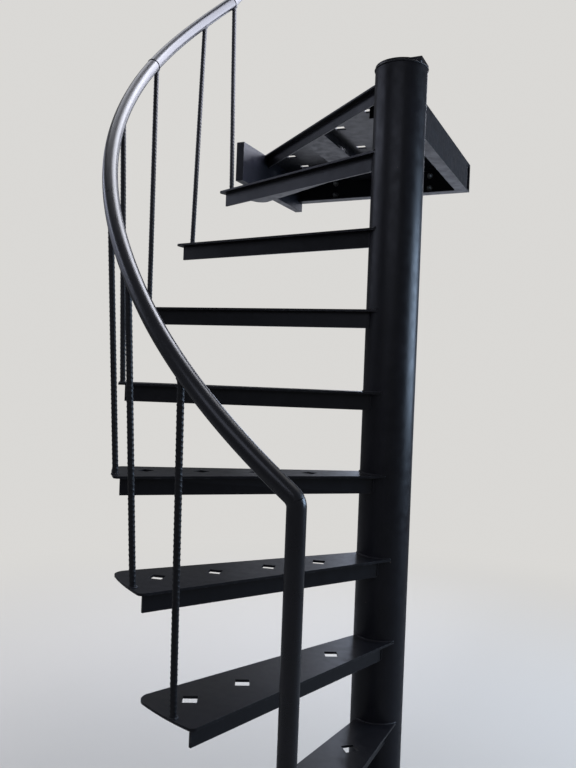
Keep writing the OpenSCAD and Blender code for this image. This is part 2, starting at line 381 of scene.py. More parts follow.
# The newel post and the handrail share the ring in the middle of their bend.
corner = bend(newel_top, UP, rail_run(NEWEL_AZIMUTH), NEWEL_BEND, BEND_STEPS)
middle = BEND_STEPS // 2
corner_end = (corner[-1] - newel_top).length + PAST_BEND
lower_path = corner[middle:] + [
    point for point in rail_path(NEWEL_AZIMUTH, SEAM_AZIMUTH, RING_TURN)
    if (point - newel_top).length > corner_end]
newel_path = [Vector((newel_top.x, newel_top.y, NEWEL_FOOT_T))] + corner[:middle + 1]
sideways = rail_run(NEWEL_AZIMUTH).cross(UP).cross(UP)
lower_tube = tube(lower_path, corner[middle] - corner[middle - 1], rail_run(SEAM_AZIMUTH))
upper_tube = tube(upper_path, rail_run(SEAM_AZIMUTH), climb_run)
landing_tube = tube([rail_corner, rail_bend, rail_end], corner_run, BACK)
newel_tube = tube(newel_path, UP, corner[middle + 1] - corner[middle], across=sideways)
rails = [
    make_piece("handrail_tube", [lower_tube], ["handrail_lower"]),
    make_piece("handrail_upper_tube", [upper_tube], ["handrail_upper"]),
    make_piece("landing_rail_tube", [landing_tube], ["landing_handrail"]),
    make_piece("newel_tube", [newel_tube], ["newel_post"]),
]

# %% [markdown]
# ## The column
# The column is a plain steel pipe, open inside. The solid has few facets round
# it, and the column is the widest smooth surface in view, so it is made again
# with 144 sides, an inside wall and a small chamfer at each end.

# %% Build the column pipe
UPRIGHT = Matrix.Identity(4)
CHAMFER = 0.001
COLUMN_SIDES = 144
COLUMN_ROWS = 40


def turned(profile, sides, place=UPRIGHT):
    """Rings turned round Z from a profile of (radius, height), then placed."""
    return [
        [place @ Vector((r * math.cos(turn), r * math.sin(turn), z)) for turn in circle(sides)]
        for r, z in profile
    ]


inner = COLUMN_R - COLUMN_WALL
pipe_top = COLUMN_TOP - CAP_T - SADDLE_T
plain = pipe_top - FOOT_T - 2 * CHAMFER
heights = [FOOT_T + CHAMFER + plain * k / COLUMN_ROWS for k in range(COLUMN_ROWS + 1)]
pipe_profile = [(inner, FOOT_T), (COLUMN_R - CHAMFER, FOOT_T)]
pipe_profile += [(COLUMN_R, z) for z in heights]
pipe_profile += [(COLUMN_R - CHAMFER, pipe_top), (inner, pipe_top)]
pipe = loft(turned(pipe_profile, COLUMN_SIDES), closed=True)
column = make_piece("column_pipe", [pipe], ["column"])

# %% [markdown]
# ## Ribbed bars
# The uprights are reinforcing bar: a round core with slanting ribs rolled into
# it, and two thin ribs along it. The ribs could be a bump in the paint, but they
# show in the bar's outline, so they are in the mesh: the radius of each point of
# the grid depends on how near it is to a rib.

# %% The surface of a ribbed bar
# The core's radius, and the slanting ribs: how far apart, how wide and how slanted
BAR_CORE = 0.0071
RIB_PITCH = 0.0112
RIB_WIDTH = 0.0019
RIB_SLANT = 0.0100
# How round the slanting ribs end, and how high and wide the long ribs are
RIB_CROWN = 0.6
LONG_RIB_H = 0.75
LONG_RIB_WIDTH = 0.055


def bar_surface(distance, turn):
    """Radius of a ribbed bar at a distance along it and a turn round it."""
    half = (turn / math.pi) % 1.0
    crown = math.sin(math.pi * half) ** RIB_CROWN
    phase = (distance + RIB_SLANT * half + (RIB_PITCH / 2 if turn > math.pi else 0)) / RIB_PITCH
    off = abs(phase - round(phase)) * RIB_PITCH
    slanting = crown * max(0.0, 1 - (off / RIB_WIDTH) ** 2)
    lengthwise = LONG_RIB_H * max(0.0, 1 - (min(half, 1 - half) / LONG_RIB_WIDTH) ** 2)
    return BAR_CORE + (BAR_RADIUS - BAR_CORE) * max(slanting, lengthwise)


print("rib every", RIB_PITCH, "m")

# %% [markdown]
# ### Where a bar starts and ends
# The welder cuts each bar to fit: level at the tread, and hollowed at the head
# to sit against the tube. A Boolean would cut it too, but would leave ragged
# ribs. So each line along the bar is given its own start and end, and the rows
# of points are spread between them.

# %% Build the bars
BAR_SIDES = 26
BAR_ROW = 0.0014


def to_tube(start, along, middle, tube_along):
    """How far a line goes from start before it meets the tube's skin."""
    a = along - along.dot(tube_along) * tube_along
    b = start - middle
    b = b - b.dot(tube_along) * tube_along
    half = a.dot(b)
    return (-half - math.sqrt(half * half - a.dot(a) * (b.dot(b) - TUBE_R ** 2))) / a.dot(a)


def bar_lines(foot, top, tube_along, radius, sides):
    """For each turn round a bar: its offset, and where it starts and ends along the bar."""
    along = (top - foot).normalized()
    side = along.cross(TO_RIGHT).normalized()
    over = along.cross(side)
    lines = []
    for turn in circle(sides):
        offset = math.cos(turn) * side + math.sin(turn) * over
        edge = foot + radius * offset
        lines.append((turn, offset, (foot.z - edge.z) / along.z, to_tube(edge, along, top, tube_along)))
    return along, lines


def ribbed_bar(foot, top, tube_along):
    """The skin of a ribbed bar from a level foot to the underside of the rail."""
    along, lines = bar_lines(foot, top, tube_along, BAR_CORE, BAR_SIDES)
    rows = math.ceil((top - foot).length / BAR_ROW)
    rings = []
    for j in range(rows + 1):
        ring = []
        for turn, offset, start, end in lines:
            distance = start + (end - start) * j / rows
            ring.append(foot + distance * along + bar_surface(distance, turn) * offset)
        rings.append(ring)
    return loft(rings)


def stair_bar(i):
    """Foot, head and rail direction of the bar on tread i."""
    foot_azimuth = even_azimuth(i) + BAR_LEAD + BAR_SHIFT[i - FIRST_BAR]
    head_azimuth = foot_azimuth + BAR_LEAN[i - FIRST_BAR]
    return polar(BAR_R, foot_azimuth, tread_z(i)), rail_point(head_azimuth), rail_run(head_azimuth)


bar_places = {f"baluster_{i}": stair_bar(i) for i in range(FIRST_BAR, TREADS + 1)}
bars = [
    make_piece(f"ribbed_{name}", [ribbed_bar(*place)], [name], sharp=60)
    for name, place in bar_places.items()
]

# %% [markdown]
# ## Weld beads
# Everything on this stair is welded, and the beads show: a ring round the foot
# and the head of each bar, a run where each tread meets the column, and short
# stitches behind the flat bars. A bead is a thin rope of overlapping puddles. A
# displaced curve could make it, but a path with a ring every millimetre, whose
# radius swells at each puddle, gives the same look with few faces.

# %% Weld beads
BEAD_ROW = 0.0012
BEAD_SIDES = 8
PUDDLE = 0.0036
# How thick a bead is between two puddles, and how much more on one
PUDDLE_LOW = 0.86
PUDDLE_RISE = 0.22
# How far a bead swells or thins, and how fast
SWELL = 0.22
SWELL_RATE = 0.35
# How thin an open bead starts, and how much it gains in each row
TIP = 0.35
TIP_GAIN = 0.4
# Points along an arc of the column, and a length too small to divide by
ARC_STEPS = 24
TINY = 1e-9


def resample(path, spacing):
    """Points at even distances along a path."""
    lengths = [0.0]
    for a, b in zip(path, path[1:]):
        lengths.append(lengths[-1] + (b - a).length)
    count = max(3, math.ceil(lengths[-1] / spacing))
    points, k = [], 0
    for j in range(count + 1):
        goal = lengths[-1] * j / count
        while k < len(lengths) - 2 and lengths[k + 1] < goal:
            k += 1
        part = (goal - lengths[k]) / max(TINY, lengths[k + 1] - lengths[k])
        points.append(path[k].lerp(path[k + 1], min(1.0, part)))
    return points


def bead(path, radius, seed, ring=False):
    """The skin of a weld bead along a path."""
    chance = random.Random(seed)
    points = resample(path + path[:1] if ring else path, BEAD_ROW)
    if ring:
        points = points[:-1]
    last = len(points) - 1
    rings, swell = [], 1.0
    for k, centre in enumerate(points):
        ahead = points[(k + 1) % len(points)] if ring else points[min(k + 1, last)]
        back = points[k - 1] if ring else points[max(k - 1, 0)]
        along = (ahead - back).normalized()
        swell += (1 + chance.uniform(-SWELL, SWELL) - swell) * SWELL_RATE
        puddle = PUDDLE_LOW + PUDDLE_RISE * abs(math.sin(math.pi * k * BEAD_ROW / PUDDLE))
        taper = 1.0 if ring else min(1.0, TIP + TIP_GAIN * min(k, last - k))
        rings.append(tube_ring(centre, along, along, radius * swell * puddle * taper, BEAD_SIDES))
    return loft(rings, closed=ring)


def column_arc(start, end, height):
    """Points on the column's skin between two directions."""
    return [
        polar(COLUMN_R, start + (end - start) * k / ARC_STEPS, height)
        for k in range(ARC_STEPS + 1)
    ]


def turn_at(offset):
    """Direction of the point of the column's skin that lies this far off its middle."""
    return math.degrees(math.asin(offset / COLUMN_R))


print("bead helpers ready")

# %% [markdown]
# ## Welds of the treads
# A bead runs over and under each plate where it meets the column, and down both
# sides of the flat bar. Behind the flat bar there are short stitches, because a
# full run would pull the thin plate out of flat. Each bead has its own seed, so
# that no two are alike and every run gives the same ones.

# %% Build the treads' welds
# Radius of each bead
TREAD_BEAD = 0.0032
UNDER_BEAD = 0.0030
LIP_BEAD = 0.0026
# How far a bead stops short of the flat bar's lower edge
BEAD_SHORT = 0.002
# Where each stitch starts and ends along the tread
STITCHES = [(0.120, 0.165), (0.290, 0.335), (0.460, 0.505), (0.655, 0.700)]
# First seed of each family of beads
UNDER_SEED, LIP_SEED, STITCH_SEED = 20, 40, 100

lip_front = FRONT_Y - NOSING
lip_back = lip_front - LIP_T
front_turn = turn_at(FRONT_Y)
back_turn = -BACK_SLOPE - turn_at(-BACK_Y * math.cos(math.radians(BACK_SLOPE)))

tread_beads, stitch_beads = [], []
for i in range(1, TREADS + 1):
    azimuth, level = tread_azimuth(i), tread_z(i)
    start = azimuth + back_turn
    over = column_arc(start, azimuth + front_turn, level)
    tread_beads.append(bead(over, TREAD_BEAD, i))
    under = column_arc(start, azimuth + turn_at(lip_back), level - PLATE_T)
    tread_beads.append(bead(under, UNDER_BEAD, UNDER_SEED + i))
    for side, across in enumerate((lip_front, lip_back)):
        turn = azimuth + turn_at(across)
        line = [polar(COLUMN_R, turn, level - z) for z in (LIP_H - BEAD_SHORT, PLATE_T)]
        tread_beads.append(bead(line, LIP_BEAD, LIP_SEED + 2 * i + side))
    for k, ends in enumerate(STITCHES):
        line = [on_tread(i, x, lip_back, -PLATE_T) for x in ends]
        stitch_beads.append(bead(line, LIP_BEAD, STITCH_SEED + len(STITCHES) * i + k))

welds = [
    make_piece("tread_welds", tread_beads, sharp=70),
    make_piece("flat_bar_stitches", stitch_beads, sharp=70),
]

# %% [markdown]
# ## Rings and seams
# A bead goes round the foot and the head of each bar, round the handrail where
# two tubes join, and round the feet and the cap. The paths are the same rings
# that the tubes and bars are made of, so each bead sits on its joint. The beads
# of the handrail's seams lie deeper, because hands run over them.

# %% Build the other welds
# Radius of each bead, and how deep a seam's bead lies in the tube
FOOT_BEAD = 0.0042
CAP_BEAD = 0.0024
BAR_FOOT_BEAD = 0.0030
BAR_HEAD_BEAD = 0.0026
SEAM_BEAD = 0.0022
NEWEL_BEAD = 0.0030
SEAM_DEPTH = 0.0008
# Points of the rings round a bar and a tube, and directions round the column
BAR_RING = 24
TUBE_RING = 48
RING_TURNS = range(0, 360, 5)
# Direction in which the landing's bead starts
LANDING_WELD_START = 92
# First seed of each family of beads
BAR_FOOT_SEED, BAR_HEAD_SEED, SEAM_SEED, FOOT_SEED, LANDING_SEED = 200, 220, 240, 250, 260

bar_beads = []
for k, (foot, head, run) in enumerate(bar_places.values()):
    along, lines = bar_lines(foot, head, run, BAR_RADIUS, BAR_RING)
    low = [foot + BAR_RADIUS * offset + start * along for _, offset, start, _ in lines]
    high = [foot + BAR_RADIUS * offset + end * along for _, offset, _, end in lines]
    bar_beads.append(bead(low, BAR_FOOT_BEAD, BAR_FOOT_SEED + k, ring=True))
    bar_beads.append(bead(high, BAR_HEAD_BEAD, BAR_HEAD_SEED + k, ring=True))

seam_run = rail_run(SEAM_AZIMUTH)
rail_joints = [
    (rail_point(SEAM_AZIMUTH), seam_run, seam_run),
    (rail_corner, corner_run, corner_run + climb_run),
    (rail_bend, climb_run, climb_run + BACK),
    (rail_end, BACK, BACK),
]
rail_beads = []
for k, (centre, along, cut) in enumerate(rail_joints):
    seam = tube_ring(centre, along, cut.normalized(), TUBE_R - SEAM_DEPTH, TUBE_RING)
    rail_beads.append(bead(seam, SEAM_BEAD, SEAM_SEED + k, ring=True))

foot_beads = [
    bead([polar(COLUMN_R, a, FOOT_T) for a in RING_TURNS], FOOT_BEAD, FOOT_SEED, ring=True),
    bead([polar(COLUMN_R, a, pipe_top) for a in RING_TURNS], CAP_BEAD, FOOT_SEED + 1, ring=True),
    bead(tube_ring(newel_path[0], UP, UP, TUBE_R, TUBE_RING), NEWEL_BEAD, FOOT_SEED + 2, ring=True),
]
landing_arc = column_arc(LANDING_WELD_START, LANDING_AZIMUTH + turn_at(LANDING_FRONT), LANDING_Z)
landing_beads = [bead(landing_arc, TREAD_BEAD, LANDING_SEED)]
welds += [
    make_piece("bar_welds", bar_beads, sharp=70),
    make_piece("handrail_welds", rail_beads, sharp=70),
    make_piece("foot_welds", foot_beads, sharp=70),
    make_piece("landing_welds", landing_beads, sharp=70),
]

# %% [markdown]
# ## Anchor bolts
# The foot plates, the rear beam and the rail's flange are held by studs with a
# washer and a nut. A nut is a six-sided turned shape, and the stud's thread is a
# profile that goes in and out, so the turning helper makes both.

# %% A bolt
# Sizes of a washer and a nut as parts of the stud's thickness
HOLE = 0.53
WASHER_R, WASHER_T = 1.0, 0.2
NUT_R, NUT_H = 0.866, 0.8
PITCH = 0.15
# Depth of the thread, and how much a tip and a nut's corners are cut back
THREAD_CORE = 0.86
TIP_CUT = 0.7
NUT_LOW_CUT, NUT_TOP_CUT = 0.9, 0.88
# Heights of the chamfers, in metres
WASHER_CHAMFER = 0.0004
NUT_LOW_CHAMFER, NUT_TOP_CHAMFER = 0.001, 0.0012
SUNK = 0.001
WASHER_SIDES, NUT_SIDES, STUD_SIDES = 36, 6, 20


def thread(radius, pitch, start, end):
    """Profile of a threaded end, with a small chamfer at its tip."""
    core = radius * THREAD_CORE
    profile = [(core, start)]
    for k in range(int((end - start) / pitch)):
        profile += [(radius, start + pitch * (k + 0.5)), (core, start + pitch * (k + 1))]
    return profile + [(radius * TIP_CUT, end)]


def anchor(place, size, stand):
    """Skins of a washer, a nut and a threaded stud that stands proud of the nut."""
    hole, rim, thick = size * HOLE, size * WASHER_R, size * WASHER_T
    washer = [
        (hole, 0), (rim - WASHER_CHAMFER, 0), (rim, WASHER_CHAMFER),
        (rim, thick - WASHER_CHAMFER), (rim - WASHER_CHAMFER, thick), (hole, thick)]
    corner = size * NUT_R
    top = thick + size * NUT_H
    nut = [
        (corner * NUT_LOW_CUT, thick), (corner, thick + NUT_LOW_CHAMFER),
        (corner, top - NUT_TOP_CHAMFER), (corner * NUT_TOP_CUT, top)]
    stud = thread(size / 2, size * PITCH, top - SUNK, top + stand)
    return [
        loft(turned(washer, WASHER_SIDES, place), closed=True),
        loft(turned(nut, NUT_SIDES, place)),
        loft(turned(stud, STUD_SIDES, place)),
    ]


print("bolt helper ready")

# %% [markdown]
# ### Bolts in fours
# Each foot, the rear beam and the rail's flange have four bolts at the corners of
# a rectangle. Nuts never end at the same turn, so each is twisted by an amount
# that follows from its corner. A random turn would do too, but this way no draw
# is needed.

# %% Build the bolts
# Distances between the bolts of each pattern
FOOT_HOLES = 0.190
NEWEL_HOLES = 0.062
BEAM_HOLES_X, BEAM_HOLES_Z = 0.400, 0.050
FLANGE_HOLES = 0.044
# The landing's rear beam: thickness of its web, and depth of the holes' middle
WEB_T = 0.006
BEAM_MIDDLE = 0.050
# Thick and thin bolts, and how far a nut is twisted for each side of its corner
M12, M8 = 0.012, 0.008
TWIST_X, TWIST_Y = 0.7, 0.4


def pattern(centre, dx, dy, place, size, stand):
    """Four anchors at the corners of a rectangle."""
    skins = []
    for sx in (-1, 1):
        for sy in (-1, 1):
            corner = Matrix.Translation(Vector((sx * dx / 2, sy * dy / 2, 0)))
            twist = Matrix.Rotation(TWIST_X * sx + TWIST_Y * sy, 4, "Z")
            skins += anchor(Matrix.Translation(centre) @ place @ corner @ twist, size, stand)
    return skins


towards_stair = Matrix.Rotation(math.radians(90), 4, "X")
column_foot = Vector((0, 0, FOOT_T))
newel_foot = Vector((newel_top.x, newel_top.y, NEWEL_FOOT_T))
rear_web = Vector((-LANDING_W / 2, LANDING_END - WEB_T, LANDING_Z - PLATE_T - BEAM_MIDDLE))
column_set = pattern(column_foot, FOOT_HOLES, FOOT_HOLES, UPRIGHT, M12, stand=0.012)
newel_set = pattern(newel_foot, NEWEL_HOLES, NEWEL_HOLES, UPRIGHT, M8, stand=0.007)
beam_set = pattern(rear_web, BEAM_HOLES_X, BEAM_HOLES_Z, towards_stair, M12, stand=0.010)
flange_set = pattern(rail_end, FLANGE_HOLES, FLANGE_HOLES, towards_stair, M8, stand=0.006)
bolts = [
    make_piece("column_bolts", column_set, sharp=30),
    make_piece("newel_bolts", newel_set, sharp=30),
    make_piece("landing_bolts", beam_set, sharp=30),
    make_piece("wall_flange_bolts", flange_set, sharp=30),
]

# %% [markdown]
# ## Soft edges on the plates
# The flat plates, beams and feet keep their exact solids. A cut steel edge is
# never quite sharp: it is ground a little and then rounded by the paint. A
# bevel modifier gives that narrow round, which catches a thin line of light
# along each tread, and it leaves the solid's own mesh as it is.

# %% Bevel the carried-over solids
EDGE_ROUND = 0.0009
EDGE_ANGLE = math.radians(50)
SAME_POINT = 0.00002
kept = [name for name, node in nodes.items() if not node.hide_render]
for name in kept:
    join = nodes[name].modifiers.new("join", "WELD")
    join.merge_threshold = SAME_POINT
    edge = nodes[name].modifiers.new("edge", "BEVEL")
    edge.width = EDGE_ROUND
    edge.segments = 2
    edge.limit_method = "ANGLE"
    edge.angle_limit = EDGE_ANGLE
    edge.harden_normals = True
print("kept solids", kept)

# %% [markdown]
# ## Shader groups
# Old enamel on steel shows the same few effects everywhere: edges rubbed pale,
# dust on what faces up, a skin that isn't quite smooth, streaks on upright
# faces and small chips. Each is a node group with named sockets, so that every
# material can use it in its own measure. They give masks and heights only; the
# Principled shader stays in the material.

# %% Helpers for shader nodes
def add(tree, kind, wires=None, **settings):
    """A node with its settings, and its inputs set or linked."""
    node = tree.nodes.new(kind)
    for key, value in settings.items():
        setattr(node, key, value)
    for key, value in (wires or {}).items():
        if isinstance(value, bpy.types.NodeSocket):
            tree.links.new(value, node.inputs[key])
        else:
            node.inputs[key].default_value = value
    return node


def math_node(tree, operation, a, b=0.0, clamp=False):
    """The value of a sum, product or other simple step."""
    return add(tree, "ShaderNodeMath", {0: a, 1: b}, operation=operation, use_clamp=clamp).outputs[0]


def times(tree, a, b, clamp=False):
    """The product of two values."""
    return math_node(tree, "MULTIPLY", a, b, clamp)


def ramp(tree, value, low, high, to_low=0.0, to_high=1.0):
    """A value moved smoothly from one range to another."""
    wires = {"Value": value, "From Min": low, "From Max": high, "To Min": to_low, "To Max": to_high}
    return add(tree, "ShaderNodeMapRange", wires, interpolation_type="SMOOTHSTEP").outputs["Result"]


def noise(tree, vector, scale, detail=3.0, rough=0.55):
    """Soft noise between 0 and 1."""
    wires = {"Vector": vector, "Scale": scale, "Detail": detail, "Roughness": rough}
    return add(tree, "ShaderNodeTexNoise", wires).outputs["Fac"]


def new_group(name, inputs, outputs):
    """A shader group with named number inputs and outputs."""
    group = bpy.data.node_groups.new(name, "ShaderNodeTree")
    for label, value in inputs.items():
        socket = group.interface.new_socket(label, in_out="INPUT", socket_type="NodeSocketFloat")
        socket.default_value = value
    for label in outputs:
        group.interface.new_socket(label, in_out="OUTPUT", socket_type="NodeSocketFloat")
    return group, group.nodes.new("NodeGroupInput").outputs, group.nodes.new("NodeGroupOutput").inputs


def place_of(tree):
    """The point on the stair, in metres."""
    return add(tree, "ShaderNodeTexCoord").outputs["Object"]


def upward(tree):
    """How far a face looks up: 1 on top, 0 on an upright side, -1 on an underside."""
    normal = add(tree, "ShaderNodeNewGeometry").outputs["Normal"]
    return add(tree, "ShaderNodeSeparateXYZ", {0: normal}).outputs["Z"]


print("shader helpers ready")

# %% [markdown]
# ### Rubbed edges
# Hands, shoes and tools take the paint off edges first. A map could be painted
# by hand, but the bevel node finds edges by itself: where the rounded normal
# differs from the true one, an edge is near. Noise breaks the line up.

# %% Edge wear group
# How alike the two normals are on a flat face, and right on an edge
FLAT_LIKE, EDGE_LIKE = 0.998, 0.90
# Noise that only rare spots reach, and how softly a rubbed spot ends
RARE_SPOT, SPOT_BLUR = 0.78, 0.12
edge_wear, given, result = new_group(
    "edge wear", {"Width": 0.0025, "Amount": 0.5, "Scale": 70.0}, ["Mask"])
rounded = add(edge_wear, "ShaderNodeBevel", {"Radius": given["Width"]}, samples=4).outputs["Normal"]
true = add(edge_wear, "ShaderNodeNewGeometry").outputs["Normal"]
alike = add(edge_wear, "ShaderNodeVectorMath", {0: rounded, 1: true}, operation="DOT_PRODUCT")
near_edge = ramp(edge_wear, alike.outputs["Value"], FLAT_LIKE, EDGE_LIKE)
broken = noise(edge_wear, place_of(edge_wear), given["Scale"], detail=4.0, rough=0.65)
reach = math_node(edge_wear, "SUBTRACT", RARE_SPOT, times(edge_wear, given["Amount"], 0.5))
rubbed = ramp(edge_wear, broken, reach, math_node(edge_wear, "ADD", reach, SPOT_BLUR))
edge_wear.links.new(times(edge_wear, near_edge, rubbed, True), result["Mask"])
print(edge_wear.name, "ready")

# %% [markdown]
# ### Settled dust
# Dust lies on what faces up, thicker in some places than others. The normal's
# height tells how level the surface is, and two sizes of noise make it uneven.

# %% Dust group
GRIT_SCALE = 420.0
settled_dust, given, result = new_group("settled dust", {"Amount": 0.5, "Scale": 9.0}, ["Mask"])
place = place_of(settled_dust)
level = ramp(settled_dust, upward(settled_dust), low=0.45, high=0.95)
clouds = noise(settled_dust, place, given["Scale"], detail=5.0, rough=0.6)
patches = ramp(settled_dust, clouds, low=0.30, high=0.72, to_low=0.25)
grains = noise(settled_dust, place, GRIT_SCALE, detail=2.0)
grit = ramp(settled_dust, grains, low=0.35, high=0.75, to_low=0.6)
lying = times(settled_dust, times(settled_dust, level, patches), grit)
settled_dust.links.new(times(settled_dust, lying, given["Amount"], True), result["Mask"])
print(settled_dust.name, "ready")

# %% [markdown]
# ### The skin of brushed enamel
# Paint put on with a brush dries with a fine waviness and a coarser sag. Both
# are heights for a bump node, and the coarse one also changes the gloss.

# %% Enamel skin group
enamel_skin, given, result = new_group(
    "enamel skin", {"Peel Scale": 330.0, "Peel": 0.6, "Sag Scale": 38.0}, ["Height", "Gloss"])
place = place_of(enamel_skin)
waves = noise(enamel_skin, place, given["Peel Scale"], detail=2.0)
sag = noise(enamel_skin, place, given["Sag Scale"], rough=0.5)
height = math_node(enamel_skin, "ADD", times(enamel_skin, waves, given["Peel"]), sag)
enamel_skin.links.new(height, result["Height"])
enamel_skin.links.new(ramp(enamel_skin, sag, low=0.3, high=0.7), result["Gloss"])
print(enamel_skin.name, "ready")

# %% [markdown]
# ### Streaks and chips
# Rain and wiping leave faint upright streaks on upright faces. Noise that is
# squeezed across and stretched in height gives them. Chips are the rare peaks
# of a fine noise.

# %% Streak and chip groups
STREAK_STRETCH = (1.0, 1.0, 0.05)
CHIP_BLUR = 0.02
streaks, given, result = new_group("streaks", {"Amount": 0.5, "Scale": 45.0}, ["Mask"])
stretched = add(
    streaks, "ShaderNodeMapping", {"Vector": place_of(streaks), "Scale": STREAK_STRETCH})
runs = noise(streaks, stretched.outputs[0], given["Scale"], rough=0.6)
lines = ramp(streaks, runs, low=0.48, high=0.75)
steep = ramp(streaks, math_node(streaks, "ABSOLUTE", upward(streaks)), low=0.6, high=0.2)
streaked = times(streaks, times(streaks, lines, steep), given["Amount"], True)
streaks.links.new(streaked, result["Mask"])

chips, given, result = new_group("chips", {"Scale": 110.0, "Rarity": 0.74}, ["Mask"])
specks = noise(chips, place_of(chips), given["Scale"], detail=2.0, rough=0.4)
full = math_node(chips, "ADD", given["Rarity"], CHIP_BLUR)
chips.links.new(ramp(chips, specks, given["Rarity"], full), result["Mask"])
print(streaks.name, "and", chips.name, "ready")

# %% [markdown]
# ## The paint
# Nearly black enamel with a touch of blue. One function lays the groups over
# the base colour in the order in which they come about: uneven coats, streaks,
# dust, rubbed edges and chips. Each material gives its own measures, so the
# treads are scuffed, the bars are duller and the welds are lumpier.

# %% Paint
DUST = (0.080, 0.080, 0.084, 1)
RUBBED = (0.060, 0.060, 0.066, 1)
CHIPPED = (0.115, 0.088, 0.072, 1)
COAT_SCALE = 6.0
# How much lighter a streak is, how much duller dust makes the paint, and how
# deep a chip is beside the waves of the skin
STREAK_LIGHTER = 1.9
DUST_DULLS = 0.35
CHIP_DEPTH = 1.5
# The mix node's two colours and its result, which share their names with others
MIX_UNDER, MIX_OVER, MIXED = 6, 7, 2


def use_group(tree, group, **inputs):
    """A group placed in a material, with its inputs set."""
    return add(tree, "ShaderNodeGroup", inputs, node_tree=group).outputs


def lay(tree, under, over, mask):
    """One colour laid over another where the mask is high."""
    wires = {"Factor": mask, MIX_UNDER: under, MIX_OVER: over}
    return add(tree, "ShaderNodeMix", wires, data_type="RGBA").outputs[MIXED]


def new_material(name):
    """A material with its node tree and its Principled shader."""
    material = bpy.data.materials.new(name)
    material.use_nodes = True
    return material, material.node_tree, material.node_tree.nodes["Principled BSDF"]


def paint(name, dark, light, gloss, dust=0.3, edges=0.4, streak=0.2, rarity=0.80,
          bump=0.00007, peel=0.35, uneven=0.14, level=0.42):
    """An enamel paint with dust, wear, streaks and chips."""
    material, tree, shader = new_material(name)
    coats = noise(tree, place_of(tree), COAT_SCALE, detail=5.0, rough=0.6)
    colour = lay(tree, dark, light, ramp(tree, coats, low=0.3, high=0.7))
    streaked = use_group(tree, streaks, Amount=streak)["Mask"]
    colour = lay(tree, colour, (*[c * STREAK_LIGHTER for c in light[:3]], 1), streaked)
    dusty = use_group(tree, settled_dust, Amount=dust)["Mask"]
    colour = lay(tree, colour, DUST, dusty)
    colour = lay(tree, colour, RUBBED, use_group(tree, edge_wear, Amount=edges)["Mask"])
    chipped = use_group(tree, chips, Rarity=rarity)["Mask"]
    colour = lay(tree, colour, CHIPPED, chipped)
    tree.links.new(colour, shader.inputs["Base Color"])
    skin = use_group(tree, enamel_skin, Peel=peel)
    rough = math_node(tree, "ADD", times(tree, skin["Gloss"], uneven), gloss)
    rough = math_node(tree, "ADD", rough, times(tree, dusty, DUST_DULLS), True)
    tree.links.new(rough, shader.inputs["Roughness"])
    lift = math_node(tree, "SUBTRACT", skin["Height"], times(tree, chipped, CHIP_DEPTH))
    bumped = add(tree, "ShaderNodeBump", {"Height": lift, "Distance": bump, "Strength": 1.0})
    tree.links.new(bumped.outputs["Normal"], shader.inputs["Normal"])
    shader.inputs["Specular IOR Level"].default_value = level
    print(name, "ready")
    return material


print("paint ready to mix")

# %% [markdown]
# ### Five ways the same paint looks
# The whole stair was painted from one tin, but it doesn't look the same all
# over. Shoes polish the treads and hands polish the rail, so the treads are
# scuffed at their edges and the rail is smooth and bright. The ribbed bars and
# the welds hold more dust, and the paint is thick and uneven there. The frame
# and the treads are also mixed a darker base colour than the rail, bars and
# welds: that darker colour is painted shade.

# %% Mix the paints
# The frame and tread paints get darker base colours than the rail, bars and welds: that extra darkness
# is painted shade.
shaded_frame_paint = paint(
    "frame paint with painted shade", (0.0064, 0.0066, 0.0100, 1), (0.0098, 0.0100, 0.0150, 1), gloss=0.30,
    bump=0.00004)
shaded_tread_paint = paint(
    "tread paint with painted shade", (0.0058, 0.0060, 0.0088, 1), (0.0088, 0.0090, 0.0128, 1), gloss=0.31,
    dust=0.08, edges=0.6, rarity=0.84, bump=0.00002, uneven=0.08)
rail_paint = paint(
    "rail paint", (0.0076, 0.0078, 0.0115, 1), (0.0112, 0.0114, 0.0165, 1), gloss=0.27,
    dust=0.06, streak=0.1, bump=0.000005, peel=0.05, uneven=0.03, level=0.75)
bar_enamel = paint(
    "bar enamel", (0.0078, 0.0078, 0.0105, 1), (0.0120, 0.0120, 0.0150, 1), gloss=0.38,
    edges=0.5, rarity=0.78)
weld_enamel = paint(
    "weld enamel", (0.0080, 0.0082, 0.0120, 1), (0.0120, 0.0122, 0.0175, 1), gloss=0.36,
    dust=0.25, edges=0.5, rarity=0.78, bump=0.0002)

# %% [markdown]
# ## Zinc for the bolts
# The nuts are plated with zinc, dulled by weather, and were left unpainted. The
# plating is a metal with spots of a different roughness, and a little rust
# comes through it.

# %% Zinc material
ZINC_DARK = (0.30, 0.30, 0.29, 1)
ZINC_LIGHT = (0.46, 0.46, 0.45, 1)
RUST = (0.16, 0.085, 0.05, 1)
BLOOM_SCALE = 240.0
zinc, tree, shader = new_material("zinc plating")
bloom = noise(tree, place_of(tree), BLOOM_SCALE, detail=4.0, rough=0.6)
bloom = ramp(tree, bloom, low=0.35, high=0.65)
rusty = use_group(tree, chips, Scale=260.0, Rarity=0.62)["Mask"]
colour = lay(tree, lay(tree, ZINC_DARK, ZINC_LIGHT, bloom), RUST, rusty)
rough = ramp(tree, bloom, 0.0, 1.0, to_low=0.34, to_high=0.56)
bumped = add(tree, "ShaderNodeBump", {"Height": bloom, "Distance": 0.0001, "Strength": 1.0})
tree.links.new(colour, shader.inputs["Base Color"])
tree.links.new(rough, shader.inputs["Roughness"])
tree.links.new(bumped.outputs["Normal"], shader.inputs["Normal"])
shader.inputs["Metallic"].default_value = 0.9
print(zinc.name, "ready")

# %% [markdown]
# ## Which finish goes where
# Each family of pieces gets its own paint. The solids that were kept carry
# their own slots already, so the paint goes into every slot, and a piece made
# here without a slot gets one. The landing's plate is walked on, so it gets the
# paint of the treads, and with it that paint's painted shade.

# %% Give each piece its finish
def finish_with(material, pieces):
    """Puts one material on every slot of each piece."""
    for piece in pieces:
        if not piece.material_slots:
            piece.data.materials.append(material)
        for slot in piece.material_slots:
            slot.material = material


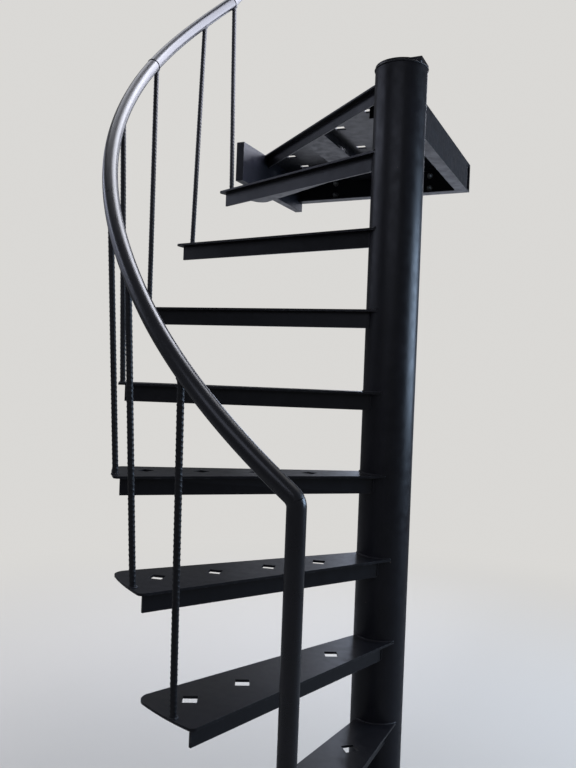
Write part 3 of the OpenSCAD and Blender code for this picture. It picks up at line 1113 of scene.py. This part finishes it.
walked_on = [name for name in kept if "tread" in name or name == "landing_plate"]
finish_with(shaded_frame_paint, [nodes[name] for name in kept if "tread" not in name] + [column])
finish_with(shaded_tread_paint, [nodes[name] for name in walked_on])
finish_with(rail_paint, rails)
finish_with(bar_enamel, bars)
finish_with(weld_enamel, welds)
finish_with(zinc, bolts)
print("finishes given")

# %% [markdown]
# ## Floor
# The stair stands on a plain pale floor. Only the camera sees the floor as
# pale: for every other ray it is darker, so that it throws less light on the
# undersides. Far from the stair it fades into the tone of the backdrop, so no
# horizon shows.

# %% Floor
FLOOR_HALF = 30
PALE = (0.70, 0.69, 0.67, 1)
FLOOR_LIT = (0.16, 0.16, 0.155, 1)
FLOOR_SEEN = (0.62, 0.595, 0.55, 1)
FADE_START, FADE_END = 1.0, 4.0
floor_mesh = bpy.data.meshes.new("floor")
floor_mesh.from_pydata(
    [(sx * FLOOR_HALF, sy * FLOOR_HALF, 0) for sx, sy in ((-1, -1), (1, -1), (1, 1), (-1, 1))],
    [], [(0, 1, 2, 3)])
floor = bpy.data.objects.new("floor", floor_mesh)
bpy.context.scene.collection.objects.link(floor)
floor_paint, tree, shader = new_material("pale floor")
shader.inputs["Roughness"].default_value = 0.8
seen = add(tree, "ShaderNodeLightPath").outputs["Is Camera Ray"]
tree.links.new(lay(tree, FLOOR_LIT, FLOOR_SEEN, seen), shader.inputs["Base Color"])
glow = add(tree, "ShaderNodeEmission", {"Color": PALE, "Strength": 1.0})
far = add(tree, "ShaderNodeVectorMath", {0: place_of(tree)}, operation="LENGTH").outputs["Value"]
seen_far = times(tree, ramp(tree, far, FADE_START, FADE_END), seen)
fade = add(tree, "ShaderNodeMixShader", {0: seen_far, 1: shader.outputs[0], 2: glow.outputs[0]})
tree.links.new(fade.outputs[0], tree.nodes["Material Output"].inputs["Surface"])
floor.data.materials.append(floor_paint)
print("floor", 2 * FLOOR_HALF, "m wide")

# %% [markdown]
# ## World
# Black enamel mirrors whatever stands around it, and here that is a pale
# backdrop. The world shows the backdrop to the camera and, high up behind the
# stair, to glossy and transmission rays too. All other rays find a weak cool
# light. A picture could be used instead, but it would show in the paint from
# each side.

# %% World
COOL = (0.90, 0.94, 1.0, 1)
FILL = 0.40
GLOSSY_FILL = 0.09
world = bpy.data.worlds.new("studio")
world.use_nodes = True
bpy.context.scene.world = world
tree = world.node_tree
tree.nodes.clear()
paths = add(tree, "ShaderNodeLightPath").outputs
way = add(tree, "ShaderNodeTexCoord").outputs["Generated"]
way = add(tree, "ShaderNodeSeparateXYZ", {0: way}).outputs
behind = ramp(tree, way["Y"], low=0.05, high=0.6)
high_up = ramp(tree, way["Z"], low=0.40, high=0.75)
mirrored = math_node(tree, "MAXIMUM", paths["Is Glossy Ray"], paths["Is Transmission Ray"])
mirrored = times(tree, mirrored, times(tree, behind, high_up))
shown = math_node(tree, "MAXIMUM", paths["Is Camera Ray"], mirrored)
seen = add(tree, "ShaderNodeBackground", {"Color": PALE, "Strength": 1.0})
strength = ramp(tree, paths["Is Glossy Ray"], 0.0, 1.0, to_low=FILL, to_high=GLOSSY_FILL)
lit = add(tree, "ShaderNodeBackground", {"Color": COOL, "Strength": strength})
which = add(tree, "ShaderNodeMixShader", {0: shown, 1: lit.outputs[0], 2: seen.outputs[0]})
add(tree, "ShaderNodeOutputWorld", {"Surface": which.outputs[0]})
print("world ready")

# %% [markdown]
# ## Lamps
# The strong light comes from behind and above, so the tube's upper side and the
# sides of the column shine and the faces towards the camera stay dark. Black
# enamel is seen mostly by what it mirrors, so each lamp is a large soft panel
# that stands where one face of the stair mirrors it towards the camera. One big
# lamp would be simpler, but it would light everything alike.

# %% Lamps
WHITE = (0.88, 0.90, 1.0)
REAR = (0.84, 0.87, 1.0)
INNER = (0.84, 0.86, 1.0)
LOW = (0.82, 0.86, 1.0)
BACK_BLUE = (0.62, 0.74, 1.0)
RIGHT_BLUE = (0.56, 0.74, 1.0)
SOFT_BLUE = (0.74, 0.79, 1.0)
# Name, place, what it looks at, width, height, glow and colour of each lamp
LAMPS = [
    ("top light", (-0.2, 2.35, 5.3), (-0.2, 2.36, 0), 2.6, 3.0, 4.2, WHITE),
    ("top left light", (-2.6, 0.95, 5.3), (-2.6, 0.96, 0), 2.2, 1.4, 2.0, WHITE),
    ("rear light", (-0.6, 3.4, 3.15), (-0.75, 0, 2.4), 1.4, 1.5, 3.0, REAR),
    ("inner light", (-0.01, 2.35, 3.65), (-1, 2.35, 3.65), 1.9, 1.6, 6.0, INNER),
    ("near inner light", (-0.01, 0.75, 3.4), (-1, 0.75, 3.4), 1.3, 2.1, 9.0, INNER),
    ("low back light", (-0.9, 3.4, 1.0), (-0.2, 0.3, 1.8), 2.6, 1.0, 0.85, LOW),
    ("back left light", (-0.8, 3.4, 2.15), (-0.1, -0.3, 0.7), 0.9, 0.6, 4.0, BACK_BLUE),
    ("right light", (2.55, 1.6, 1.66), (0, 0, 1.66), 2.2, 1.0, 6.5, RIGHT_BLUE),
    ("upper right light", (2.55, 1.6, 2.16), (0, 0, 2.16), 2.2, 0.35, 9.0, RIGHT_BLUE),
    ("left light", (-3.0, -0.6, 2.55), (0, 0, 2.0), 2.6, 1.3, 0.6, SOFT_BLUE),
    ("upper left light", (-3.0, -0.6, 3.15), (0, 0, 2.4), 2.6, 0.5, 1.6, SOFT_BLUE),
    ("front light", (0.3, -3.6, 2.95), (0, 0, 2.1), 3.0, 1.3, 0.9, SOFT_BLUE),
]


def lamp(name, place, aim, wide, high, glow, colour):
    """A rectangular area lamp that looks at a point. Its glow is how bright its face is."""
    light = bpy.data.lights.new(name, "AREA")
    light.shape = "RECTANGLE"
    light.size, light.size_y = wide, high
    light.energy = glow * math.pi * wide * high
    light.color = colour
    holder = bpy.data.objects.new(name, light)
    holder.location = place
    holder.rotation_euler = (Vector(aim) - Vector(place)).to_track_quat("-Z", "Y").to_euler()
    holder.visible_camera = False
    bpy.context.scene.collection.objects.link(holder)
    print(name, round(light.energy), "W")


for each in LAMPS:
    lamp(*each)

# %% [markdown]
# ## Last steps
# The picture keeps plain view settings, so that a colour comes out about as it
# is written.

# %% Set the view transform
bpy.context.scene.view_settings.view_transform = "Standard"
